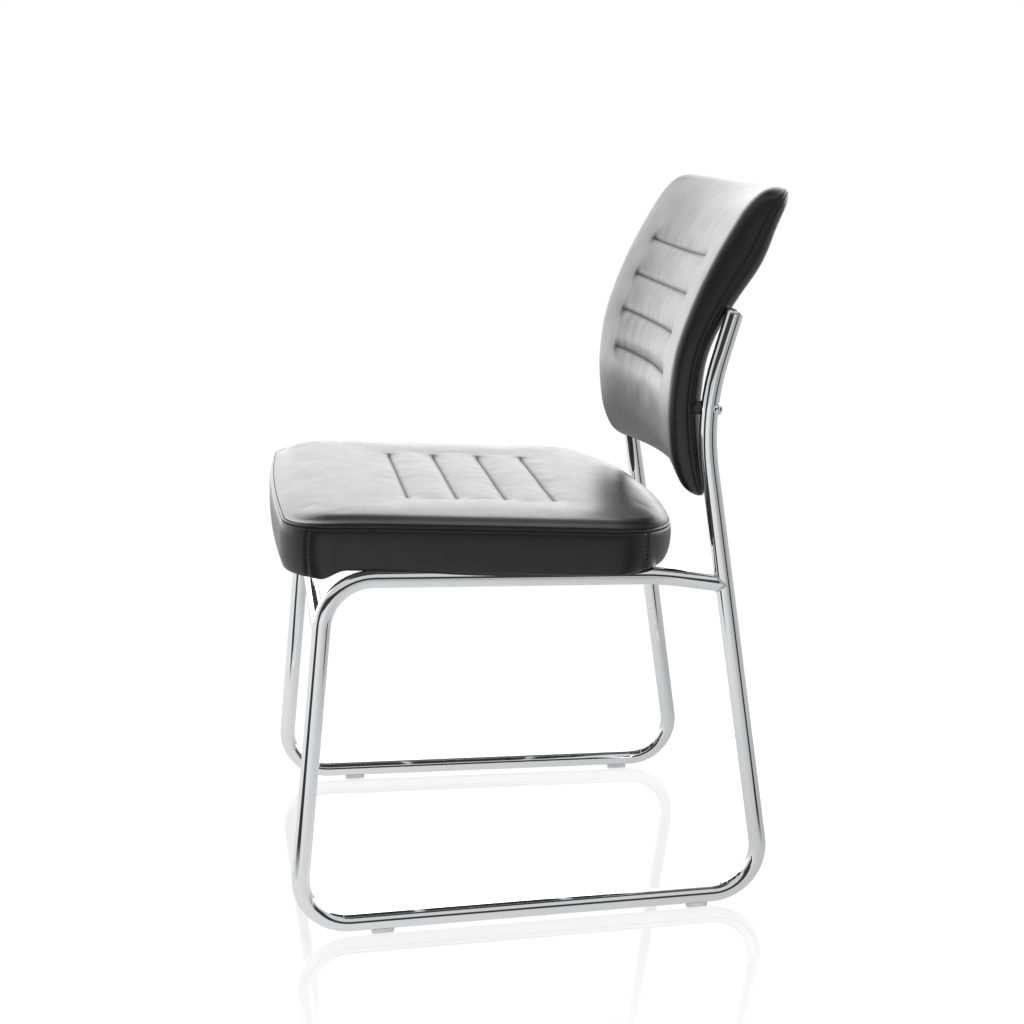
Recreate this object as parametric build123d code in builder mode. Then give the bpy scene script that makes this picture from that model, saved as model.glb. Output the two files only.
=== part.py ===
from build123d import *
import os
from math import cos, radians, sin, sqrt, tan

# Visitor chair on a bent-tube sled frame, millimetres.
# The floor is Z = 0, the sitter faces -Y and the sitter's left is +X.

# Frame tube
tube_od = 20.0
tube_wall = 2.0
glide_height = 4.0
bend_radius = 55.0
back_bend_radius = 280.0
tail_bend_radius = 150.0

# Corners of the tube's centre line before bending, and its leans in degrees
front_half_width = 247.4
rear_half_width = 226.9
front_foot_y = -282.4
rear_foot_y = 266.4
front_leg_lean = 5.9
rear_leg_lean = 8.35
rear_leg_splay = 1.29
upright_bend_z = 582.0
upright_lean = 16.95
upright_top_z = 692.0
rail_front_z = 416.9
rail_rear_y = 142.0
rail_rear_half_width = 204.5
tail_weld_z = 387.0
weld_bite = 0.3

# Cross members
cross_tube_od = 16.0
cross_tube_wall = 1.5
cross_tube_z = 350.0
bar_od = 18.0
bar_wall = 1.5
front_bar_y = -98.0
rear_bar_y = 102.0
weld_gap = 0.15

# Seat, in its own plane tilted back about X
seat_tilt = 3.2
seat_middle_y = -61.0
seat_width = 490.0
seat_depth = 470.0
boxing_height = 50.0
seat_crown = 15.0
seat_front_bow = 8.0
seat_rear_bow = 22.0
seat_side_draw = 2.0
seat_front_corner = 46.0
seat_rear_corner = 62.0
seat_lip_drop = 5.0
seat_lip_depth = 36.0
seat_stand_off = 0.2
cover_wall = 10.0
seat_board_thickness = 12.0
dust_cover_thickness = 1.0
seat_channel_pitch = 57.0
seat_channel_middle = 3.9
seat_channel_half_length = 136.0
channel_radius = 14.0
seat_channel_depth = 4.0
seat_bolt_spacing = 260.0

# Back pad, its front edge given by height
back_width = 422.0
back_front_hollow = 16.0
back_rear_hollow = 20.0
back_front_round = 14.0
back_rear_round = 28.0
back_wall = 4.0
back_board_thickness = 10.0
back_board_inset = 30.0
back_board_setback = 22.0
back_channel_half_length = 133.0
back_channel_radius = 10.0
back_channel_depth = 3.5
back_bolt_z = 588.0
back_bolt_turn = 40.0

# Fasteners and fits
bolt_d = 6.0
bolt_clearance = 0.5
bolt_head_d = 13.0
bolt_head_height = 3.6
insert_d = 9.0
washer_d = 16.0
nut_flange_d = 20.0
nut_flange_thickness = 1.5
seat_fit = 0.3
cap_dome = 6.0
cap_plug_length = 12.0
cap_fit = 0.15
glide_length = 26.0
glide_width = 9.0
glide_peg_d = 5.0
glide_y = 185.0

os.makedirs("parts", exist_ok=True)

tube_r = tube_od / 2
rail_z = glide_height + tube_r


def leg_point(z):
    """Centre of the front leg's tube at height z, left side."""
    return Vector(front_half_width, front_foot_y + (z - rail_z) * tan(radians(front_leg_lean)), z)


def rear_point(z):
    """Centre of the rear leg's tube at height z, below the back bend, left side."""
    rise = z - rail_z
    x = rear_half_width - rise * tan(radians(rear_leg_splay))
    return Vector(x, rear_foot_y - rise * tan(radians(rear_leg_lean)), z)


foot_front = leg_point(rail_z)
foot_rear = rear_point(rail_z)
rail_front = leg_point(rail_front_z)
rail_drop = tan(radians(seat_tilt))
rail_rear_z = rail_front_z - rail_drop * (rail_rear_y - rail_front.Y)
rail_rear = Vector(rail_rear_half_width, rail_rear_y, rail_rear_z)
tail_weld = rear_point(tail_weld_z)
upright_bend = rear_point(upright_bend_z)
upright_rise = upright_top_z - upright_bend_z
upright_top = Vector(
    upright_bend.X - upright_rise * tan(radians(rear_leg_splay)),
    upright_bend.Y + upright_rise * tan(radians(upright_lean)),
    upright_top_z,
)


def rail_x(y):
    """Half the distance between the seat rails at y."""
    share = (y - rail_front.Y) / (rail_rear.Y - rail_front.Y)
    return rail_front.X + share * (rail_rear.X - rail_front.X)


def rail_axis_z(y):
    """Height of the seat rails' centre line at y."""
    return rail_front_z - rail_drop * (y - rail_front.Y)


def facing(origin, direction):
    """A plane at origin whose Z runs along direction."""
    return Plane(origin=origin, z_dir=direction)


# Back bend: where the upright's centre line really runs at the height of the back bolts
bend_in = (foot_rear - upright_bend).normalized()
bend_out = (upright_top - upright_bend).normalized()
bend_half = radians(bend_in.get_angle(bend_out)) / 2
bend_middle = upright_bend + (bend_in + bend_out).normalized() * back_bend_radius / sin(bend_half)


def upright_y(z):
    """Y of the upright's centre line inside the back bend."""
    return bend_middle.Y - sqrt(back_bend_radius**2 - (z - bend_middle.Z) ** 2)


bolt_out = Vector(sin(radians(back_bolt_turn)), cos(radians(back_bolt_turn)), 0)
bolt_centre = Vector(rear_point(back_bolt_z).X, upright_y(back_bolt_z), back_bolt_z)
bolt_plane = facing(bolt_centre, bolt_out)
upright_along = Vector(
    -tan(radians(rear_leg_splay)),
    (back_bolt_z - bend_middle.Z) / (bend_middle.Y - bolt_centre.Y),
    1,
)

# Seat plane: the underside of the seat, just clear of the rails
seat_normal = Vector(0, sin(radians(seat_tilt)), cos(radians(seat_tilt)))
seat_base_z = rail_axis_z(seat_middle_y) + (tube_r + seat_stand_off) / cos(radians(seat_tilt))
seat_plane = Plane(
    origin=(0, seat_middle_y, seat_base_z), x_dir=(1, 0, 0), z_dir=seat_normal
)


def seat_bolt_points(y):
    """Two bolt places on the seat bar at y, in the seat plane."""
    v = (y - seat_middle_y) / cos(radians(seat_tilt))
    return [(-seat_bolt_spacing / 2, v), (seat_bolt_spacing / 2, v)]


front_bolt_points = seat_bolt_points(front_bar_y)
rear_bolt_points = seat_bolt_points(rear_bar_y)
all_bolt_points = front_bolt_points + rear_bolt_points

# Left side frame: one tube from the back down, along the floor, up and back under the seat
with BuildPart() as left_tail:
    with BuildLine():
        FilletPolyline(rail_front, rail_rear, tail_weld, radius=[tail_bend_radius])
    rail_direction = (rail_rear - rail_front).normalized()
    with BuildSketch(facing(rail_front, rail_direction)):
        Circle(tube_r)
        Circle(tube_r - tube_wall, mode=Mode.SUBTRACT)
    sweep()
    tail_start = rail_front + rail_direction * (rail_rear - rail_front).length * 0.75
    split(bisect_by=facing(tail_start, rail_direction), keep=Keep.TOP)
    with Locations(facing(tail_weld, bend_in)):
        Cylinder(tube_r - weld_bite, 8 * tube_od, mode=Mode.SUBTRACT)

with BuildPart() as left_side_frame:
    with BuildLine():
        FilletPolyline(
            upright_top,
            upright_bend,
            foot_rear,
            foot_front,
            rail_front,
            tail_start,
            radius=[back_bend_radius, bend_radius, bend_radius, bend_radius],
        )
    with BuildSketch(facing(upright_top, bend_out * -1)):
        Circle(tube_r)
        Circle(tube_r - tube_wall, mode=Mode.SUBTRACT)
    sweep()
    add(left_tail.part)
    with Locations(bolt_plane):
        Cylinder((bolt_d + bolt_clearance) / 2, 2 * tube_od, mode=Mode.SUBTRACT)
    glide_spots = []
    for y in (-glide_y, glide_y):
        along = (y - foot_front.Y) / (foot_rear.Y - foot_front.Y)
        glide_spots.append(foot_front + (foot_rear - foot_front) * along)
    with Locations([spot - Vector(0, 0, tube_r) for spot in glide_spots]):
        Cylinder(glide_peg_d / 2 + cap_fit, 3 * tube_wall, mode=Mode.SUBTRACT)
left_side_frame.part.label = "left_side_frame"

with BuildPart() as right_side_frame:
    mirror(left_side_frame.part, about=Plane.YZ)
right_side_frame.part.label = "right_side_frame"

# Domed plugs in the tops of the uprights
cap_plane = facing(upright_top, bend_out)
with BuildPart() as left_end_cap:
    with Locations(cap_plane):
        Cylinder(tube_r, cap_dome, align=(Align.CENTER, Align.CENTER, Align.MIN))
    fillet(left_end_cap.faces().sort_by(Axis(upright_top, bend_out))[-1].edges(), cap_dome * 0.95)
    with Locations(cap_plane):
        Cylinder(
            tube_r - tube_wall - cap_fit,
            cap_plug_length,
            align=(Align.CENTER, Align.CENTER, Align.MAX),
        )
left_end_cap.part.label = "left_end_cap"

with BuildPart() as right_end_cap:
    mirror(left_end_cap.part, about=Plane.YZ)
right_end_cap.part.label = "right_end_cap"

# Saddle glides pegged into the floor runs
floor_run = (foot_rear - foot_front).normalized()
glides = []
for spot in glide_spots:
    with BuildPart() as glide:
        with BuildSketch(Plane(origin=(spot.X, spot.Y, 0), x_dir=floor_run, z_dir=(0, 0, 1))):
            SlotOverall(glide_length, glide_width)
        extrude(amount=glide_height + tube_r * 0.2)
        with Locations((spot.X, spot.Y, rail_z - tube_r)):
            Cylinder(glide_peg_d / 2, 4 * tube_wall)
        with Locations(facing(spot, floor_run)):
            Cylinder(tube_r + cap_fit, 2 * glide_length, mode=Mode.SUBTRACT)
        with Locations((spot.X, spot.Y, rail_z - tube_r)):
            Cylinder(glide_peg_d / 2, 3 * tube_wall)
    glides.append(glide.part)
for glide_part, place in zip(glides, ("front", "rear")):
    with BuildPart() as left_glide:
        add(glide_part)
    left_glide.part.label = f"left_{place}_glide"
    export_step(left_glide.part, f"parts/left_{place}_glide.step")
    with BuildPart() as right_glide:
        mirror(glide_part, about=Plane.YZ)
    right_glide.part.label = f"right_{place}_glide"
    export_step(right_glide.part, f"parts/right_{place}_glide.step")

# Front cross tube between the front legs, coped to fit them
leg_up = (rail_front - foot_front).normalized()
cross_end = leg_point(cross_tube_z)
with BuildPart() as front_cross_tube:
    with BuildSketch(Plane.YZ):
        with Locations((cross_end.Y, cross_end.Z)):
            Circle(cross_tube_od / 2)
            Circle(cross_tube_od / 2 - cross_tube_wall, mode=Mode.SUBTRACT)
    extrude(amount=cross_end.X - tube_r * 0.3, both=True)
    with Locations(facing(cross_end, leg_up)):
        Cylinder(tube_r + weld_gap, 4 * tube_od, mode=Mode.SUBTRACT)
    with Locations(facing(Vector(-cross_end.X, cross_end.Y, cross_end.Z), leg_up)):
        Cylinder(tube_r + weld_gap, 4 * tube_od, mode=Mode.SUBTRACT)
front_cross_tube.part.label = "front_cross_tube"


def seat_bar(y, points):
    """Cross bar between the seat rails at y, drilled for the seat bolts."""
    x = rail_x(y)
    z = rail_axis_z(y) + (tube_r - bar_od / 2) / cos(radians(seat_tilt))
    rail_z_here = rail_axis_z(y)
    away = Vector(-rail_direction.X, rail_direction.Y, rail_direction.Z)
    with BuildPart() as bar:
        with BuildSketch(Plane.YZ):
            with Locations((y, z)):
                Circle(bar_od / 2)
                Circle(bar_od / 2 - bar_wall, mode=Mode.SUBTRACT)
        extrude(amount=x - tube_r * 0.3, both=True)
        with Locations(facing(Vector(x, y, rail_z_here), rail_direction)):
            Cylinder(tube_r + weld_gap, 6 * tube_od, mode=Mode.SUBTRACT)
        with Locations(facing(Vector(-x, y, rail_z_here), away)):
            Cylinder(tube_r + weld_gap, 6 * tube_od, mode=Mode.SUBTRACT)
        with Locations(seat_plane):
            with Locations(points):
                Cylinder((bolt_d + bolt_clearance) / 2, 4 * bar_od, mode=Mode.SUBTRACT)
    return bar.part


with BuildPart() as front_seat_bar:
    add(seat_bar(front_bar_y, front_bolt_points))
front_seat_bar.part.label = "front_seat_bar"

with BuildPart() as rear_seat_bar:
    add(seat_bar(rear_bar_y, rear_bolt_points))
rear_seat_bar.part.label = "rear_seat_bar"


def seat_outline(height, inset):
    """Plan of the seat at a height, drawn in by inset: bowed ends, sides drawn in between the corners."""
    half = seat_width / 2 - inset
    front = -seat_depth / 2 + inset
    rear = seat_depth / 2 - inset
    share = half / (seat_width / 2)
    front_corner_v = front + seat_front_bow * share
    rear_corner_v = rear - seat_rear_bow * share
    draw = seat_side_draw * share
    middle = (front + rear) / 2
    with BuildSketch(seat_plane.offset(height)) as outline:
        with BuildLine():
            ThreePointArc((-half, front_corner_v), (0, front), (half, front_corner_v))
            ThreePointArc((half, front_corner_v), (half - draw, middle), (half, rear_corner_v))
            ThreePointArc((half, rear_corner_v), (0, rear), (-half, rear_corner_v))
            ThreePointArc((-half, rear_corner_v), (-half + draw, middle), (-half, front_corner_v))
        make_face()
        fillet(outline.vertices().group_by(Axis.Y)[0], seat_front_corner * share)
        fillet(outline.vertices().group_by(Axis.Y)[-1], seat_rear_corner * share)
    return outline.sketch


def seat_form(rise, wall):
    """Crowned cushion form inside the seat's outline, drawn in by wall and started at rise."""
    shoulder = boxing_height - wall
    levels = [
        (rise, 9),
        (rise + 6, 3),
        (boxing_height * 0.5, 0),
        (boxing_height * 0.86 - wall * 0.5, 2.5),
        (boxing_height - wall * 0.7, 6),
        (shoulder + seat_crown * 0.4, 20),
        (shoulder + seat_crown * 0.72, 52),
        (shoulder + seat_crown * 0.93, 100),
        (shoulder + seat_crown, 150),
    ]
    with BuildPart() as form:
        loft([seat_outline(height, inset + wall) for height, inset in levels], ruled=True)
    return form.part


board_low = dust_cover_thickness
board_top = board_low + seat_board_thickness
seat_outer = seat_form(0, 0)
seat_hollow = seat_form(board_top, cover_wall)
seat_core = seat_form(board_top, cover_wall + seat_fit)
channel_places = [seat_channel_middle + seat_channel_pitch * (i - 1.5) for i in range(4)]

# Front lip of the boxing, hanging below the board's front edge
with BuildPart() as seat_lip:
    extrude(seat_outline(-seat_lip_drop, 9), amount=seat_lip_drop + boxing_height * 0.3)
    lip_back = seat_plane.from_local_coords(Vector(0, -seat_depth / 2 + seat_lip_depth, 0))
    split(bisect_by=facing(lip_back, seat_plane.y_dir), keep=Keep.BOTTOM)

# Leatherette seat cover with its wadding: a boxed, crowned shell with sewn channels and a front lip
with BuildPart() as seat_cover:
    add(seat_outer)
    add(seat_lip.part)
    add(seat_hollow, mode=Mode.SUBTRACT)
    extrude(
        seat_outline(-2 * seat_lip_drop, 9 + cover_wall),
        amount=2 * seat_lip_drop + board_top,
        mode=Mode.SUBTRACT,
    )
    crown_top = boxing_height + seat_crown - seat_channel_depth + channel_radius
    for v in channel_places:
        centre = seat_plane.from_local_coords(Vector(0, v, crown_top))
        with Locations(facing(centre, Vector(1, 0, 0))):
            Cylinder(channel_radius, 2 * seat_channel_half_length, mode=Mode.SUBTRACT)
        with Locations([centre + Vector(s * seat_channel_half_length, 0, 0) for s in (-1, 1)]):
            Sphere(channel_radius, mode=Mode.SUBTRACT)
seat_cover.part.label = "seat_cover"

# Foam block on the seat board
with BuildPart() as seat_foam:
    add(seat_core)
    with Locations(seat_plane.offset(board_top)):
        with Locations(all_bolt_points):
            Cylinder(
                nut_flange_d / 2 + seat_fit,
                nut_flange_thickness + seat_fit,
                align=(Align.CENTER, Align.CENTER, Align.MIN),
                mode=Mode.SUBTRACT,
            )
seat_foam.part.label = "seat_foam"

# Plywood seat board with holes for the tee nuts
with BuildPart() as seat_board:
    extrude(seat_outline(board_low, 9 + cover_wall + seat_fit), amount=seat_board_thickness)
    with Locations(seat_plane):
        with Locations(all_bolt_points):
            Cylinder(insert_d / 2 + cap_fit, 8 * seat_board_thickness, mode=Mode.SUBTRACT)
seat_board.part.label = "seat_board"

# Black cloth under the board
with BuildPart() as seat_dust_cover:
    extrude(seat_outline(0, 9 + cover_wall + seat_fit), amount=dust_cover_thickness)
    with Locations(seat_plane):
        with Locations(all_bolt_points):
            Cylinder(bolt_d / 2 + bolt_clearance, 4 * bolt_d, mode=Mode.SUBTRACT)
seat_dust_cover.part.label = "seat_dust_cover"

# Tee nuts pressed down into the board and the bolts that come up through the bars
under_bar = -seat_stand_off - bar_od
for points, place in ((front_bolt_points, "front"), (rear_bolt_points, "rear")):
    for point, side in zip(points, ("right", "left")):
        with BuildPart() as tee_nut:
            with Locations(seat_plane.offset(board_top)):
                with Locations(point):
                    Cylinder(
                        nut_flange_d / 2,
                        nut_flange_thickness,
                        align=(Align.CENTER, Align.CENTER, Align.MIN),
                    )
                    Cylinder(
                        insert_d / 2,
                        seat_board_thickness - 2,
                        align=(Align.CENTER, Align.CENTER, Align.MAX),
                    )
                    Cylinder(bolt_d / 2 + cap_fit, 6 * seat_board_thickness, mode=Mode.SUBTRACT)
        tee_nut.part.label = f"{place}_{side}_tee_nut"
        export_step(tee_nut.part, f"parts/{place}_{side}_tee_nut.step")
        with BuildPart() as seat_bolt:
            with Locations(seat_plane.offset(under_bar)):
                with Locations(point):
                    Cylinder(
                        bolt_d / 2,
                        board_top + nut_flange_thickness - under_bar,
                        align=(Align.CENTER, Align.CENTER, Align.MIN),
                    )
                    Cylinder(
                        bolt_head_d / 2,
                        bolt_head_height,
                        align=(Align.CENTER, Align.CENTER, Align.MAX),
                    )
            fillet(seat_bolt.faces().sort_by(Axis((0, 0, 0), seat_normal))[0].edges(), bolt_head_height * 0.6)
        seat_bolt.part.label = f"{place}_{side}_seat_bolt"
        export_step(seat_bolt.part, f"parts/{place}_{side}_seat_bolt.step")

# Back pad: height, front edge and thickness front to back, and draw-in of its sides
back_levels = [
    (488.0, 170.0, 16.0, 13.0),
    (494.0, 164.5, 29.0, 5.0),
    (506.0, 158.5, 38.0, 1.0),
    (532.0, 151.0, 40.0, 0.0),
    (585.0, 146.5, 42.5, 0.0),
    (640.0, 151.5, 44.0, 0.0),
    (700.0, 171.0, 44.0, 0.0),
    (760.0, 199.5, 47.5, 0.0),
    (806.0, 229.0, 42.5, 1.0),
    (825.0, 244.0, 30.2, 6.0),
    (834.0, 256.0, 18.0, 15.0),
]


def back_outline(z, half, front, depth, front_round, rear_round):
    """Level section through the back: hollow front, rounded sides, rear parallel to the front."""
    rear = front + depth
    with BuildSketch(Plane.XY.offset(z)) as outline:
        with BuildLine():
            ThreePointArc((-half, front), (0, front + back_front_hollow), (half, front))
            Line((half, front), (half, rear))
            ThreePointArc((half, rear), (0, rear + back_rear_hollow), (-half, rear))
            Line((-half, rear), (-half, front))
        make_face()
        fillet(outline.vertices().group_by(Axis.Y)[0], front_round)
        fillet(outline.vertices().group_by(Axis.Y)[-1], rear_round)
    return outline.sketch


def back_form(wall, lift):
    """The back pad's form drawn in by wall all round, its ends drawn in by lift."""
    first = back_levels[0][0]
    last = back_levels[-1][0]
    sections = []
    for z, front, depth, draw in back_levels:
        half = back_width / 2 - draw - wall
        thick = depth - 2 * wall
        height = first + lift + (z - first) * (last - first - 2 * lift) / (last - first)
        front_round = min(back_front_round, thick * 0.33)
        rear_round = min(back_rear_round, thick * 0.62)
        sections.append(back_outline(height, half, front + wall, thick, front_round, rear_round))
    with BuildPart() as form:
        loft(sections, ruled=True)
    return form.part


def board_form(clear):
    """The moulded board's form inside the back pad, grown by clear."""
    sections = []
    for z, front, depth, draw in back_levels[2:-2]:
        half = back_width / 2 - back_board_inset - draw + clear
        start = front + back_board_setback - clear
        thick = back_board_thickness + 2 * clear
        sections.append(back_outline(z, half, start, thick, thick * 0.2, thick * 0.2))
    with BuildPart() as form:
        loft(sections, ruled=True)
    return form.part


back_outer = back_form(0, 0)
back_hollow = back_form(back_wall, back_wall)
back_core = back_form(back_wall + seat_fit, back_wall + seat_fit)
back_plate = board_form(0)
back_plate_room = board_form(seat_fit)
bolt_plane_right = facing(Vector(-bolt_centre.X, bolt_centre.Y, back_bolt_z), Vector(-bolt_out.X, bolt_out.Y, 0))
back_bolt_planes = [bolt_plane, bolt_plane_right]
insert_start = tube_r + 11.5
insert_length = 11.0


def insert_room(grow):
    """The threaded inserts' places in the back, left and right, grown by grow."""
    with BuildPart() as room:
        with Locations(back_bolt_planes):
            with Locations((0, 0, -insert_start + grow)):
                Cylinder(
                    insert_d / 2 + grow,
                    insert_length + 2 * grow,
                    align=(Align.CENTER, Align.CENTER, Align.MAX),
                )
    return room.part


# Leatherette back cover with its wadding, with sewn channels and holes for the bolts
channel_levels = [617.0, 664.0, 708.0, 751.0]
with BuildPart() as back_cover:
    add(back_outer)
    add(back_hollow, mode=Mode.SUBTRACT)
    for z in channel_levels:
        for low, high in zip(back_levels, back_levels[1:]):
            if low[0] <= z < high[0]:
                front = low[1] + (high[1] - low[1]) * (z - low[0]) / (high[0] - low[0])
        reach = back_channel_half_length
        fall = back_front_hollow * (reach / (back_width / 2)) ** 2
        edge = front + back_front_hollow - fall + back_channel_depth - back_channel_radius
        with BuildLine() as channel_line:
            ThreePointArc((-reach, edge, z), (0, edge + fall, z), (reach, edge, z))
        with BuildSketch(facing(channel_line.line @ 0, channel_line.line % 0)):
            Circle(back_channel_radius)
        sweep(mode=Mode.SUBTRACT)
        with Locations((-reach, edge, z), (reach, edge, z)):
            Sphere(back_channel_radius, mode=Mode.SUBTRACT)
    with Locations(back_bolt_planes):
        Cylinder(bolt_d / 2 + bolt_clearance, 4 * tube_od, mode=Mode.SUBTRACT)
back_cover.part.label = "back_cover"

# Hardwood blocks behind the board that take the bolts' thrust
with BuildPart() as left_back_block:
    block_z = bolt_centre.Z - 20
    across = Vector(bolt_out.Y, -bolt_out.X, 0)
    face = bolt_centre - bolt_out * (insert_start - 1)
    corner_a = face - across * 5
    corner_b = face + across * 4
    corner_c = face + across * 3 - bolt_out * 22
    corner_d = face - across * 24 - bolt_out * 14
    with BuildSketch(Plane.XY.offset(block_z)):
        with BuildLine():
            Polyline(
                (corner_a.X, corner_a.Y),
                (corner_b.X, corner_b.Y),
                (corner_c.X, corner_c.Y),
                (corner_d.X, corner_d.Y),
                close=True,
            )
        make_face()
    extrude(amount=40)
    add(back_plate_room, mode=Mode.SUBTRACT)
    add(insert_room(cap_fit), mode=Mode.SUBTRACT)
    with Locations(bolt_plane):
        Cylinder(bolt_d / 2 + bolt_clearance, 4 * tube_od, mode=Mode.SUBTRACT)
left_back_block.part.label = "left_back_block"

with BuildPart() as right_back_block:
    mirror(left_back_block.part, about=Plane.YZ)
right_back_block.part.label = "right_back_block"

# Moulded plywood back board
with BuildPart() as back_board:
    add(back_plate)
back_board.part.label = "back_board"

# Foam round the board
with BuildPart() as back_foam:
    add(back_core)
    add(back_plate_room, mode=Mode.SUBTRACT)
    add(insert_room(seat_fit), mode=Mode.SUBTRACT)
    with BuildSketch(Plane.XY.offset(block_z - seat_fit)):
        with BuildLine():
            Polyline(
                (corner_a.X, corner_a.Y),
                (corner_b.X, corner_b.Y),
                (corner_c.X, corner_c.Y),
                (corner_d.X, corner_d.Y),
                close=True,
            )
        make_face()
        offset(amount=seat_fit)
        mirror(about=Plane.YZ)
    extrude(amount=40 + 2 * seat_fit, mode=Mode.SUBTRACT)
    with Locations(back_bolt_planes):
        Cylinder(bolt_d / 2 + bolt_clearance, 4 * tube_od, mode=Mode.SUBTRACT)
back_foam.part.label = "back_foam"

# Threaded insert, coped spacer and dome-head bolt on each upright
with BuildPart() as left_back_insert:
    with Locations(bolt_plane):
        with Locations((0, 0, -insert_start)):
            Cylinder(insert_d / 2, insert_length, align=(Align.CENTER, Align.CENTER, Align.MAX))
            Cylinder(bolt_d / 2 + cap_fit, 4 * insert_length, mode=Mode.SUBTRACT)
left_back_insert.part.label = "left_back_insert"

with BuildPart() as left_back_spacer:
    with Locations(bolt_plane):
        Cylinder(washer_d / 2, tube_od, align=(Align.CENTER, Align.CENTER, Align.MAX))
        Cylinder(bolt_d / 2 + bolt_clearance, 4 * tube_od, mode=Mode.SUBTRACT)
    with Locations(facing(bolt_centre, upright_along)):
        Cylinder(tube_r + seat_fit, 4 * tube_od, mode=Mode.SUBTRACT)
    add(back_outer, mode=Mode.SUBTRACT)
left_back_spacer.part.label = "left_back_spacer"

head_seat = tube_r - 0.6
with BuildPart() as left_back_bolt:
    with Locations(bolt_plane):
        with Locations((0, 0, -insert_start - insert_length)):
            Cylinder(
                bolt_d / 2,
                insert_start + insert_length + tube_r + 1,
                align=(Align.CENTER, Align.CENTER, Align.MIN),
            )
        with Locations((0, 0, head_seat)):
            Cylinder(
                bolt_head_d / 2,
                bolt_head_height + 0.6,
                align=(Align.CENTER, Align.CENTER, Align.MIN),
            )
    fillet(left_back_bolt.faces().sort_by(Axis(bolt_centre, bolt_out))[-1].edges(), bolt_head_height * 0.7)
    with Locations(facing(bolt_centre, upright_along)):
        Cylinder(tube_r + cap_fit, 4 * tube_od, mode=Mode.SUBTRACT)
    with Locations(bolt_plane):
        with Locations((0, 0, -insert_start - insert_length)):
            Cylinder(
                bolt_d / 2,
                insert_start + insert_length + tube_r + 1,
                align=(Align.CENTER, Align.CENTER, Align.MIN),
            )
left_back_bolt.part.label = "left_back_bolt"

for left_part, name in (
    (left_back_insert.part, "back_insert"),
    (left_back_spacer.part, "back_spacer"),
    (left_back_bolt.part, "back_bolt"),
):
    with BuildPart() as right_copy:
        mirror(left_part, about=Plane.YZ)
    right_copy.part.label = f"right_{name}"
    export_step(left_part, f"parts/left_{name}.step")
    export_step(right_copy.part, f"parts/right_{name}.step")

export_step(left_side_frame.part, "parts/left_side_frame.step")
export_step(right_side_frame.part, "parts/right_side_frame.step")
export_step(left_end_cap.part, "parts/left_end_cap.step")
export_step(right_end_cap.part, "parts/right_end_cap.step")
export_step(front_cross_tube.part, "parts/front_cross_tube.step")
export_step(front_seat_bar.part, "parts/front_seat_bar.step")
export_step(rear_seat_bar.part, "parts/rear_seat_bar.step")
export_step(seat_cover.part, "parts/seat_cover.step")
export_step(seat_foam.part, "parts/seat_foam.step")
export_step(seat_board.part, "parts/seat_board.step")
export_step(seat_dust_cover.part, "parts/seat_dust_cover.step")
export_step(back_cover.part, "parts/back_cover.step")
export_step(back_foam.part, "parts/back_foam.step")
export_step(back_board.part, "parts/back_board.step")
export_step(left_back_block.part, "parts/left_back_block.step")
export_step(right_back_block.part, "parts/right_back_block.step")
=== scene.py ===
import math

import bmesh
import bpy
from mathutils import Matrix, Vector, noise


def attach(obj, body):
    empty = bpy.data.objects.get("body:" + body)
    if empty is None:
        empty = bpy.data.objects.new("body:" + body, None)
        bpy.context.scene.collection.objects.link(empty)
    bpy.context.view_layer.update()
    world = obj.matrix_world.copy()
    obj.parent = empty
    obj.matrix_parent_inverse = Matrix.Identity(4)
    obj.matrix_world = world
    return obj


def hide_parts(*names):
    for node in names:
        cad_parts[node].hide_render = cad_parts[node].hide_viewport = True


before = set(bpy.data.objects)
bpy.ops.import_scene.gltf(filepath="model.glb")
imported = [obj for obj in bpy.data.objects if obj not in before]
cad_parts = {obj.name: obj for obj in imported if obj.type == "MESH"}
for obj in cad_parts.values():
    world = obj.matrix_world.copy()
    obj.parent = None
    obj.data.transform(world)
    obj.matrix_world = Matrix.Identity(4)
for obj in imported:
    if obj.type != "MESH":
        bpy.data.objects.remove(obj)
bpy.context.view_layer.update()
MM = 0.001
SEAM_SHADE = 0.25  # how dark the skin gets in a pad's sewn edges
RIM_STITCH = (3.1, 5.4, 0.6, 0.0)  # length, pitch, radius and lift in millimetres, as for the other stitches
CORNER_STITCH = (3.0, 5.2, 0.55, 0.05)
WELD_RIPPLE = (4.4, 2.1, 1.7, 0.2)
STAPLE = (11.0, 34.0, 0.6, 0.1)


# Shader maths

class Field:
    """A socket in a node tree; arithmetic on it adds Math nodes."""

    def __init__(self, shade, socket):
        self.shade = shade
        self.socket = socket

    def math(self, operation, other=None, swap=False):
        node = self.shade.tree.nodes.new("ShaderNodeMath")
        node.operation = operation
        first, second = (1, 0) if swap else (0, 1)
        self.shade.tree.links.new(self.socket, node.inputs[first])
        if isinstance(other, Field):
            self.shade.tree.links.new(other.socket, node.inputs[second])
        elif other is not None:
            node.inputs[second].default_value = other
        return Field(self.shade, node.outputs[0])

    def __add__(self, other):
        return self.math("ADD", other)

    __radd__ = __add__

    def __sub__(self, other):
        return self.math("SUBTRACT", other)

    def __rsub__(self, other):
        return self.math("SUBTRACT", other, swap=True)

    def __mul__(self, other):
        return self.math("MULTIPLY", other)

    __rmul__ = __mul__

    def __pow__(self, other):
        return self.math("POWER", other)

    def clamp(self):
        node = self.shade.tree.nodes.new("ShaderNodeClamp")
        self.shade.tree.links.new(self.socket, node.inputs[0])
        return Field(self.shade, node.outputs[0])


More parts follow.
